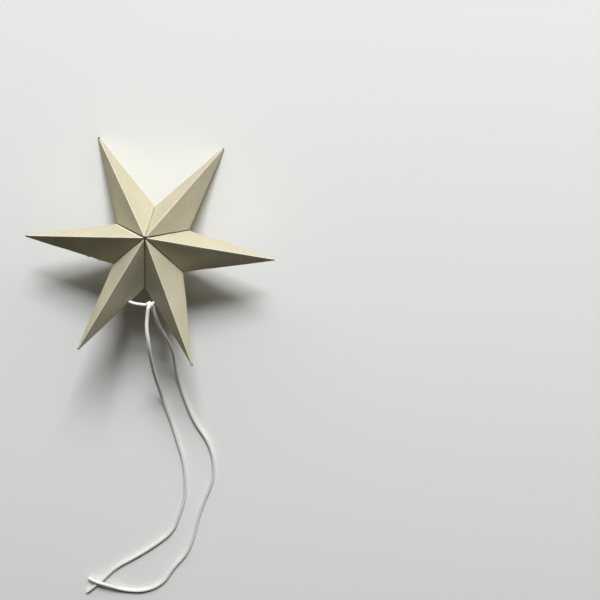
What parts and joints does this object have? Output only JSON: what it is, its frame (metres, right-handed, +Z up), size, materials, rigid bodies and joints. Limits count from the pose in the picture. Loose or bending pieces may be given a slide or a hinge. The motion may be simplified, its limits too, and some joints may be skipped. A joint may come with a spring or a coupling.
{
  "type": "folded card star ornament",
  "caption": "Hollow pointed star of folded card, its arms glued side by side and drawn shut across one notch by a tied white cord with two long loose tails.",
  "frame": {"origin": "on the surface the star lies on, below the middle of the star's own box, its loose cord tails left out", "axes": "+Z up from the surface; -Y towards the notch that the cord ties; +X across the star to its right-hand side arm"},
  "size_m": [0.1, 0.2133, 0.0363],
  "materials": {
    "card": "matt, fibre speckled",
    "cord": "smooth twisted cotton"
  },
  "bodies": {
    "root": {"side_arm_right": "card", "top_arm_right": "card", "top_arm_left": "card", "side_arm_left": "card", "end_arm_left": "card", "end_arm_right": "card", "tie_left": "cord", "tie_right": "cord", "stopper_left": "cord", "stopper_right": "cord", "tie_knot": "cord", "tail_left": "cord", "tail_right": "cord"}
  },
  "joints": []
}
